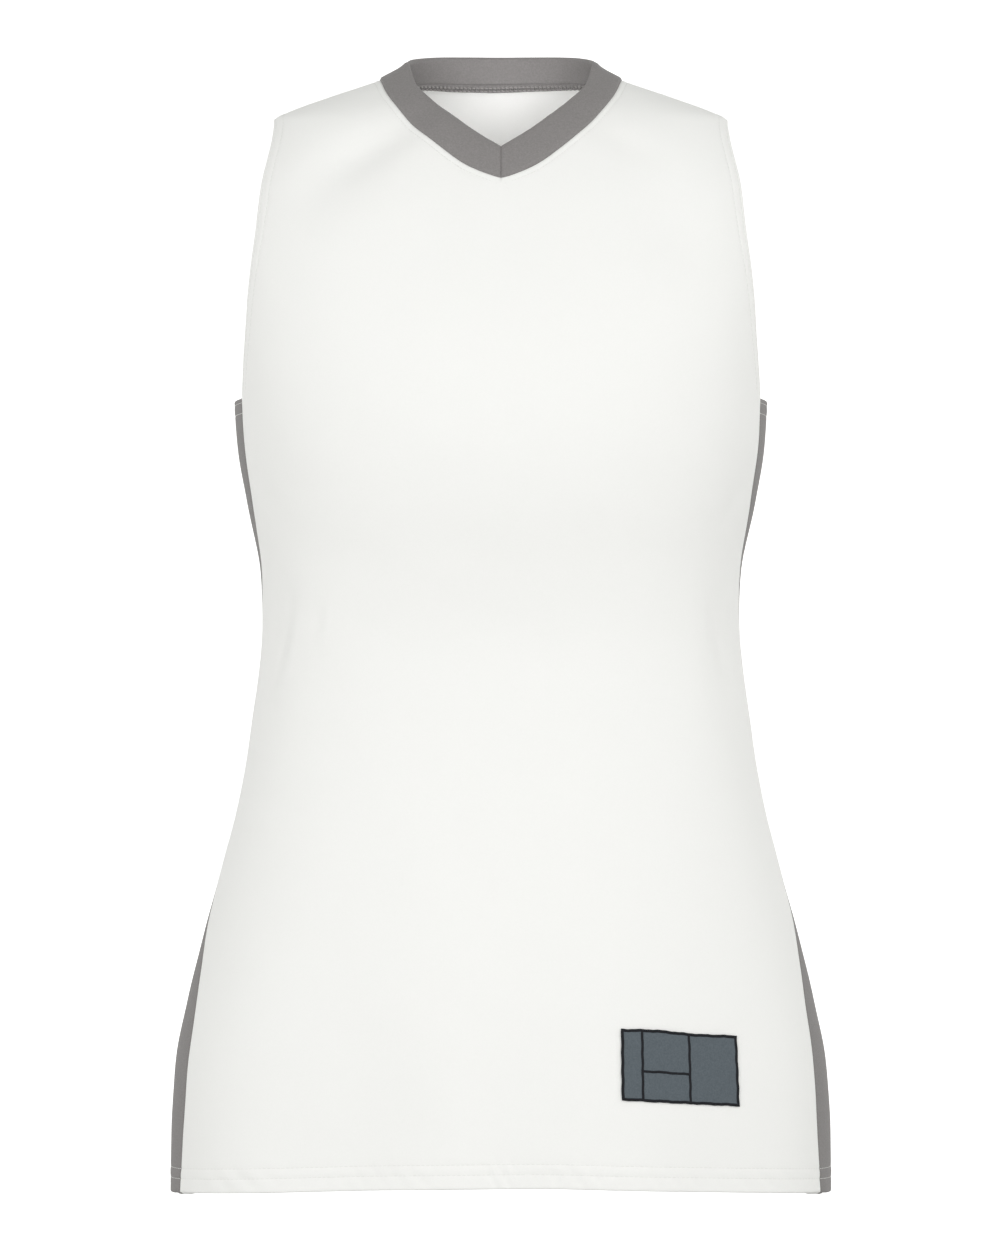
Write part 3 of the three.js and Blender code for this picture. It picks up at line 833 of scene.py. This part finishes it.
def settle_faces(bm):
    """Lays the same faces again in one order, because spheres come with theirs in a new one each run."""
    bm.verts.index_update()
    rings = []
    for face in bm.faces:
        ring = [vert.index for vert in face.verts]
        first = ring.index(min(ring))
        rings.append(ring[first:] + ring[:first])
    bmesh.ops.delete(bm, geom=bm.edges[:], context="EDGES_FACES")
    bm.verts.ensure_lookup_table()
    for ring in sorted(rings):
        bm.faces.new([bm.verts[index] for index in ring])
    bm.normal_update()


def thread_piece(bm, name):
    """A finished piece of stitching."""
    bmesh.ops.recalc_face_normals(bm, faces=bm.faces)
    settle_faces(bm)
    print(f"{name}: {len(bm.faces) // (THREAD_ROUND * THREAD_LONG)} stitches")
    return new_piece(bm, name)


# %% Two needle lines round the hem
HEM_THREAD = -0.16
hem_thread = bmesh.new()
for needle in HEM_NEEDLES:
    row = HEM_STATIONS.index(needle)
    for grid in (front_half, back_half, side_half):
        for side in (1, -1):
            angles, heights = side * grid["angle"][row], grid["height"][row]
            dent = hem_puckers(angles, needle) + HEM_THREAD
            stitch_row(hem_thread, *cloth_line(angles, heights, dent))
hem_stitching = thread_piece(hem_thread, "hem_stitching")

# %% Two needle lines round each armhole
ARMHOLE_THREAD = -0.14
arm_thread = bmesh.new()
for needle in EDGE_NEEDLES:
    inward = -1 - EDGE_STATIONS.index(needle)
    edges = [(grid, (slice(grid["rows"] - 1, None), inward)) for grid in (front_half, back_half)]
    for grid, pick in edges + [(side_half, inward)]:
        for side in (1, -1):
            line = cloth_line(side * grid["angle"][pick], grid["height"][pick], ARMHOLE_THREAD)
            stitch_row(arm_thread, *line)
armhole_stitching = thread_piece(arm_thread, "armhole_stitching")

# %% Topstitching beside the neck seam
def beside(angles, heights, distance):
    """A line of places beside another on the form, on its right as it runs."""
    line = on_form(angles, heights)
    way = np.gradient(line, axis=0)
    away = np.cross(way, outward(line))
    line = line + distance * away / np.linalg.norm(away, axis=1, keepdims=True)
    return np.arctan2(line[:, 0], -line[:, 1]), line[:, 2]


NECK_THREAD = -0.15
neck_thread = bmesh.new()
for face, offset in (("front", TOPSTITCH), ("back", -TOPSTITCH)):
    angles, heights = NECK_LINE[face]("seam", np.linspace(0, 1, 200))
    angles, heights = beside(angles, heights, offset)
    keep = (angles > 0.0005) & (angles < math.pi)
    for side in (1, -1):
        line = cloth_line(side * angles[keep], heights[keep], NECK_THREAD)
        stitch_row(neck_thread, *line, pitch=2.2, length=1.7)
neck_stitching = thread_piece(neck_thread, "neck_topstitching")

# %% The overlocked allowance below the back of the collar
lock_thread = bmesh.new()
back_angles, back_heights = back_neck("seam", np.linspace(0, 1, 160))
full = np.concatenate([back_angles[::-1], 2 * math.pi - back_angles[1:]])
full_z = np.concatenate([back_heights[::-1], back_heights[1:]])


def overlock_lift(drop):
    """The inner face of the allowance at a distance below the neck seam."""
    reach, layers = zip(*reversed(GROOVE + ALLOWANCE))
    return BAND_PROUD - LAYER * np.interp(-drop, reach, layers) - KNIT - 0.2


# How far the seam falls for each millimetre down the inside of the collar
BACK_SLOPE = 0.81
LOOPS = table("from_drop to_drop steps length wide tall", [
    [-0.1, -0.6, 74, 2.3, 1.4, 1.3],
    [1.8, 1.4, 74, 2.3, 1.15, 1.2],
    [-0.1, 1.4, 150, 2.0, 0.3, 0.7],
    [-1.4, -0.6, 74, 1.2, 0.25, 0.4],
])
for start, end, steps, length, wide, tall in zip(*LOOPS.values()):
    for k in range(int(steps)):
        spot = (k + np.array([0.2, 0.5, 0.8])) / steps * (len(full) - 1)
        drops = np.linspace(start, end, 3)
        if steps > 100 and k % 2:
            drops = drops[::-1]
        index = np.arange(len(full))
        angles = np.interp(spot, index, full)
        heights = np.interp(spot, index, full_z) - BACK_SLOPE * drops - collar_sag(angles)
        line, away = cloth_line(angles, heights, overlock_lift(drops))
        stitch_row(lock_thread, line, away, pitch=9, length=length, wide=wide, tall=tall)
collar_overlock = thread_piece(lock_thread, "collar_overlock")

# %% [markdown]
# ## The sewn patch
# A small woven patch sits near the hem. Its cells are left bare. The field is a thin sheet on the
# cloth. Its black border and dividing lines are a second, slightly higher sheet, which is the same
# grid with all the other faces taken away, so the two always fit.

# %% Laying things on the patch
PATCH = {"side": 111.8, "height": -617, "width": 79, "tall": 44, "tilt": math.radians(4.1), "lean": -0.095}
PATCH_LIFT = 0.75
BORDER, DIVIDER = 1.75, 1.45
UPRIGHTS = (-25.9, 5.3)
CROSSBAR = -3.55
PATCH_STEP = 0.9


def edge_waves(across, up):
    """The sewn-down edges aren't quite straight: small moves across and up."""
    top = 0.5 + up / PATCH["tall"]
    bow = 0.75 * np.exp(-((across + 18) / 15) ** 2) - 0.3 * np.exp(-((across - 12) / 12) ** 2)
    aside = -0.02 * across * up / PATCH["tall"] + 0.13 * np.sin(0.55 * up + 0.8)
    return aside, top * bow + 0.14 * np.sin(0.43 * across + 1) + 0.07 * np.sin(1.1 * across)


def on_patch(across, up, lift):
    """Points over the patch's own coordinates: across and up from its centre."""
    aside, above = edge_waves(across, up)
    across, up = across + aside, up + above
    cos, sin = math.cos(PATCH["tilt"]), math.sin(PATCH["tilt"])
    level = PATCH["height"] - across * sin + up * cos
    angle = angle_at_side(PATCH["side"] + up * PATCH["lean"], level)
    steps, nudge = 12, 0.001
    for _ in range(steps):
        rate = np.linalg.norm(on_form(angle + nudge, level) - on_form(angle, level), axis=-1) / nudge
        angle = angle + (across * cos + up * sin) / steps / rate
    ruck = 0.10 * np.sin(across * 0.9) * np.sin(up * 0.7) + 0.08 * np.sin(across * 0.37 + up * 0.51)
    return moved_out(angle, level, relief(angle, level) + lift + ruck)


def marks(*bounds):
    """Positions no further apart than the patch's step, with every bound among them."""
    parts = []
    for a, b in zip(bounds, bounds[1:]):
        parts.append(np.linspace(a, b, max(2, math.ceil((b - a) / PATCH_STEP) + 1))[:-1])
    return np.concatenate(parts + [bounds[-1:]])


def in_border(across, up):
    """Whether a place belongs to the black border or a dividing line."""
    edge = min(PATCH["width"] / 2 - abs(across), PATCH["tall"] / 2 - abs(up))
    upright = min(abs(across - x) for x in UPRIGHTS)
    crossbar = UPRIGHTS[0] < across < UPRIGHTS[1] and abs(up - CROSSBAR) < DIVIDER / 2
    return edge < BORDER or upright < DIVIDER / 2 or crossbar


half_w, half_t = PATCH["width"] / 2, PATCH["tall"] / 2
bars = [x + side * DIVIDER / 2 for x in UPRIGHTS for side in (-1, 1)]
PATCH_XS = marks(-half_w, BORDER - half_w, *bars, half_w - BORDER, half_w)
PATCH_YS = marks(
    -half_t, BORDER - half_t, CROSSBAR - DIVIDER / 2, CROSSBAR + DIVIDER / 2, half_t - BORDER, half_t)


# %% Its field, border and dividing lines
def patch_sheet(name, lift, thickness, keep):
    """The patch's grid at a lift over the cloth, with only the faces that are kept."""
    across, up = np.meshgrid(PATCH_XS, PATCH_YS)
    bm, uv = cloth_mesh()
    lay_grid(bm, uv, on_patch(across, up, lift), across, up)
    spare = []
    for face in bm.faces:
        middle = sum((loop[uv].uv for loop in face.loops), Vector((0, 0))) / len(face.loops) / MM
        if not keep(middle.x, middle.y):
            spare.append(face)
    bmesh.ops.delete(bm, geom=spare, context="FACES")
    return finish_cloth(bm, name, thickness)


patch_field, _ = patch_sheet("patch_field", PATCH_LIFT, 0.5, lambda across, up: True)
patch_border, _ = patch_sheet("patch_border", PATCH_LIFT + 0.25, 0.3, in_border)

# %% [markdown]
# ## Materials
# The knit is a fine interlock: smooth rounded columns of loops about a millimetre wide. One node
# group makes that relief from the cloth's own UVs, with painted shade between the loops, and each material
# gives it colour and depth.

# %% Small helpers for nodes
def add(nodes, kind, place, **values):
    node = nodes.new(kind)
    node.location = place
    for key, value in values.items():
        setattr(node, key, value)
    return node


def set_inputs(node, values):
    for name, value in values.items():
        node.inputs[name].default_value = value


def new_material(name):
    """A material with its node tree and its shader."""
    material = bpy.data.materials.new(name)
    material.use_nodes = True
    tree = material.node_tree
    return material, tree, tree.nodes["Principled BSDF"]


def math_node(tree, operation, first, second=None, place=(0, 0)):
    node = add(tree.nodes, "ShaderNodeMath", place, operation=operation)
    for slot, value in enumerate((first, second)):
        if value is None:
            continue
        if isinstance(value, (int, float)):
            node.inputs[slot].default_value = value
        else:
            tree.links.new(value, node.inputs[slot])
    return node.outputs[0]


# %% The knit group
KNIT_INPUTS = {
    "Cloth": None, "Place": None, "Wales per metre": 1500, "Courses per metre": 1700, "Fleck": 0.3}


def knit_group():
    """Loops of knit from UVs in metres, with uneven yarn: a height for bump, and a tone from 0 to 1 that
    is painted shade between the loops plus the yarn's fleck.
    """
    tree = bpy.data.node_groups.new("Interlock knit", "ShaderNodeTree")
    for name, value in KNIT_INPUTS.items():
        kind = "NodeSocketVector" if value is None else "NodeSocketFloat"
        socket = tree.interface.new_socket(name=name, in_out="INPUT", socket_type=kind)
        if value is not None:
            socket.default_value = value
    for name in ("Height", "Painted shade and fleck"):
        tree.interface.new_socket(name=name, in_out="OUTPUT", socket_type="NodeSocketFloat")

    def step(x, y, operation, first, second=None):
        return math_node(tree, operation, first, second, (x, y))

    source = add(tree.nodes, "NodeGroupInput", (-1100, 0))
    split = add(tree.nodes, "ShaderNodeSeparateXYZ", (-900, 0))
    tree.links.new(source.outputs["Cloth"], split.inputs[0])
    # Rounded columns across the cloth
    wale = step(-720, 120, "MULTIPLY", split.outputs[0], source.outputs["Wales per metre"])
    centred = step(-420, 120, "SUBTRACT", step(-560, 120, "FRACT", wale), 0.5)
    off = step(-280, 120, "ABSOLUTE", centred)
    curve = step(0, 120, "MULTIPLY", step(-140, 120, "MULTIPLY", off, off), 4.0)
    column = step(140, 120, "SUBTRACT", 1.0, curve)
    # Slanting loops up each column
    course = step(-720, -120, "MULTIPLY", split.outputs[1], source.outputs["Courses per metre"])
    slant = step(-280, -120, "MULTIPLY", step(-420, -120, "ADD", course, off), 2 * math.pi)
    loop = step(0, -120, "MULTIPLY", step(-140, -120, "SINE", slant), 0.22)
    height = step(280, 0, "ADD", column, loop)
    # Fleck of the yarn
    fine = add(tree.nodes, "ShaderNodeTexNoise", (-560, -360))
    set_inputs(fine, {"Scale": 950, "Detail": 3})
    tree.links.new(source.outputs["Place"], fine.inputs["Vector"])
    spread = step(-420, -480, "MULTIPLY", source.outputs["Fleck"], 4.0)
    fleck = step(-140, -360, "MULTIPLY", step(-280, -360, "SUBTRACT", fine.outputs[0], 0.5), spread)
    # Painted shade: the tone is darker where the loops dip and lighter on their crowns
    loops = step(560, -100, "ADD", step(420, -100, "MULTIPLY", height, 0.3), 0.3)
    result = add(tree.nodes, "NodeGroupOutput", (1000, 0))
    tree.links.new(height, result.inputs["Height"])
    tree.links.new(step(700, -100, "ADD", loops, fleck), result.inputs["Painted shade and fleck"])
    return tree


KNIT_GROUP = knit_group()


# %% Materials of cloth and thread
def cloth_material(name, bright, shade_and_fleck_colour, roughness, bump, wales=1500, courses=1700, fleck=0.3, sheen=0.1):
    """A knit or woven cloth in two close colours; the darker one is painted shade between its loops and
    the dark fleck of the yarn.
    """
    material, tree, shader = new_material(name)
    set_inputs(shader, {
        "Sheen Weight": sheen,
        "Sheen Roughness": 0.5,
        "Specular IOR Level": 0.25,
        "Roughness": roughness,
    })
    uv_map = add(tree.nodes, "ShaderNodeUVMap", (-900, 100), uv_map="cloth")
    place = add(tree.nodes, "ShaderNodeTexCoord", (-900, -150))
    knit = add(tree.nodes, "ShaderNodeGroup", (-650, 0))
    knit.node_tree = KNIT_GROUP
    set_inputs(knit, {"Wales per metre": wales, "Courses per metre": courses, "Fleck": fleck})
    tree.links.new(uv_map.outputs[0], knit.inputs["Cloth"])
    tree.links.new(place.outputs["Object"], knit.inputs["Place"])
    mix = add(tree.nodes, "ShaderNodeMix", (-300, 100), data_type="RGBA")
    mix.clamp_factor = True
    # Painted shade: the darker colour goes where the loops dip and the brighter on their crowns, and the
    # yarn's fleck moves between them
    set_inputs(mix, {"A": (*shade_and_fleck_colour, 1), "B": (*bright, 1)})
    tree.links.new(knit.outputs["Painted shade and fleck"], mix.inputs["Factor"])
    tree.links.new(mix.outputs["Result"], shader.inputs["Base Color"])
    relief_node = add(tree.nodes, "ShaderNodeBump", (-300, -200))
    relief_node.inputs["Distance"].default_value = bump * MM
    tree.links.new(knit.outputs["Height"], relief_node.inputs["Height"])
    tree.links.new(relief_node.outputs[0], shader.inputs["Normal"])
    return material


WHITE_KNIT = cloth_material("White knit", (0.91, 0.905, 0.895), (0.88, 0.876, 0.865), 0.75, 0.02)
GREY_KNIT = cloth_material("Grey knit", (0.278, 0.263, 0.262), (0.21, 0.199, 0.198), 0.8, 0.035, fleck=0.4)
WHITE_THREAD = cloth_material("White thread", (0.86, 0.86, 0.84), (0.78, 0.78, 0.76), 0.5, 0.01)
GREY_THREAD = cloth_material("Grey thread", (0.4, 0.385, 0.38), (0.31, 0.296, 0.292), 0.6, 0.01)
PATCH_WEAVE = cloth_material(
    "Slate weave", (0.118, 0.14, 0.16), (0.08, 0.098, 0.113), 0.75, 0.04, 1600, 1600, 0.4)
BLACK_WEAVE = cloth_material(
    "Black weave", (0.011, 0.012, 0.016), (0.006, 0.006, 0.009), 0.7, 0.05, 1200, 1200, sheen=0)

# %% [markdown]
# ## Putting it together
# Each piece rides on the garment's one body, stands for its solid and takes a material slot.

# %% Pieces, bodies and materials
FITTINGS = [
    (front, "front", "white_knit", WHITE_KNIT),
    (back, "back", "white_knit", WHITE_KNIT),
    (side_left, "side_left", "grey_knit", GREY_KNIT),
    (side_right, "side_right", "grey_knit", GREY_KNIT),
    (neckband, "neckband", "grey_knit", GREY_KNIT),
    (patch_field, "label", "patch_twill", PATCH_WEAVE),
    (patch_border, None, "patch_twill", BLACK_WEAVE),
    (hem_stitching, None, "white_knit", WHITE_THREAD),
    (armhole_stitching, None, "white_knit", WHITE_THREAD),
    (neck_stitching, None, "white_knit", WHITE_THREAD),
    (collar_overlock, None, "grey_knit", GREY_THREAD),
]
for piece, node, slot, material in FITTINGS:
    piece.data.materials.append(material)
    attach(piece, "root")
    if node:
        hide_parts(node)

# %% [markdown]
# ## The studio
# The photograph is a cut-out on white, taken level with the middle of the garment from some way
# off. A pale sweep, a bright room and two wide soft lights in front give the same even light. A
# small light hidden behind the V opens up the inside of the collar, which the photograph shows bright.

# %% Floor and backdrop in one sweep
bm = bmesh.new()
bmesh.ops.create_grid(bm, x_segments=2, y_segments=140, size=0.5)
FLOOR, CURVE, WALL = 20, 2, 3
FLOOR_LEVEL, FLOOR_BACK, SWEEP_WIDTH = -1.45, 2, 24
arc = CURVE * TURN
for vert in bm.verts:
    run = (vert.co.y + 0.5) * (FLOOR + arc + WALL)
    bend = min(max((run - FLOOR) / arc, 0), 1) * TURN
    vert.co.y = min(run, FLOOR) - FLOOR + FLOOR_BACK + CURVE * math.sin(bend)
    vert.co.z = FLOOR_LEVEL + CURVE * (1 - math.cos(bend)) + max(run - FLOOR - arc, 0)
    vert.co.x *= SWEEP_WIDTH
sweep = new_piece(bm, "studio_sweep")
paper, tree, shader = new_material("Lit paper")
set_inputs(shader, {"Base Color": (0.6, 0.6, 0.59, 1), "Roughness": 0.9, "Emission Strength": 0.85})
place = add(tree.nodes, "ShaderNodeTexCoord", (-900, 0))
split = add(tree.nodes, "ShaderNodeSeparateXYZ", (-700, 0))
rise = add(tree.nodes, "ShaderNodeMapRange", (-500, 0))
set_inputs(rise, {"From Min": -1.4, "From Max": -1.15})
tree.links.new(place.outputs["Object"], split.inputs[0])
tree.links.new(split.outputs["Z"], rise.inputs["Value"])
tree.links.new(rise.outputs[0], shader.inputs["Emission Color"])
sweep.data.materials.append(paper)

# %% Light
scene = bpy.context.scene
world = bpy.data.worlds.new("Bright room")
world.use_nodes = True
set_inputs(world.node_tree.nodes["Background"], {"Color": (0.98, 1, 0.955, 1), "Strength": 0.42})
scene.world = world
scene.view_settings.view_transform = "Standard"


def softbox(name, place, aim, size, power):
    """A wide soft light at a place, turned to face a point."""
    light = bpy.data.lights.new(name, "AREA")
    light.shape = "RECTANGLE"
    light.size, light.size_y = size
    light.energy = power
    lamp = bpy.data.objects.new(name, light)
    bpy.context.scene.collection.objects.link(lamp)
    ray = Vector(aim) - Vector(place)
    lamp.matrix_world = Matrix.Translation(place) @ ray.to_track_quat("-Z", "Y").to_matrix().to_4x4()
    lamp.visible_camera = False
    return lamp


softbox("front_left", (-1.9, -3.1, 0.0), (0, 0, -0.2), (1.6, 1.6), 42)
softbox("front_right", (1.9, -3.1, 0.7), (0, 0, -0.15), (1.6, 1.6), 42)
softbox("side_left", (-2.6, -0.9, 0.4), (0, 0, -0.2), (1.4, 1.4), 10)
softbox("side_right", (2.6, -0.9, 0.7), (0, 0, -0.15), (1.4, 1.4), 15)
collar_lamp = softbox("collar", (0, -0.005, -0.066), (0, 0.055, 0.0), (0.06, 0.025), 0.0118)
collar_lamp.data.spread = math.radians(98)

# %% Camera
DISTANCE = 4.0
EYE_ASIDE, EYE_HEIGHT = -0.0006, -0.3444
PHOTO_ROWS, MM_A_PIXEL = 1250, 0.632
SENSOR = 36
camera_data = bpy.data.cameras.new("photo_camera")
camera_data.sensor_width = SENSOR
camera_data.lens = SENSOR * DISTANCE / (PHOTO_ROWS * MM_A_PIXEL * MM)
camera = bpy.data.objects.new("photo_camera", camera_data)
camera.location = (EYE_ASIDE, -DISTANCE, EYE_HEIGHT)
camera.rotation_euler = (TURN, 0, 0)
scene.collection.objects.link(camera)
scene.camera = camera
print("lens", round(camera_data.lens, 1), "mm")
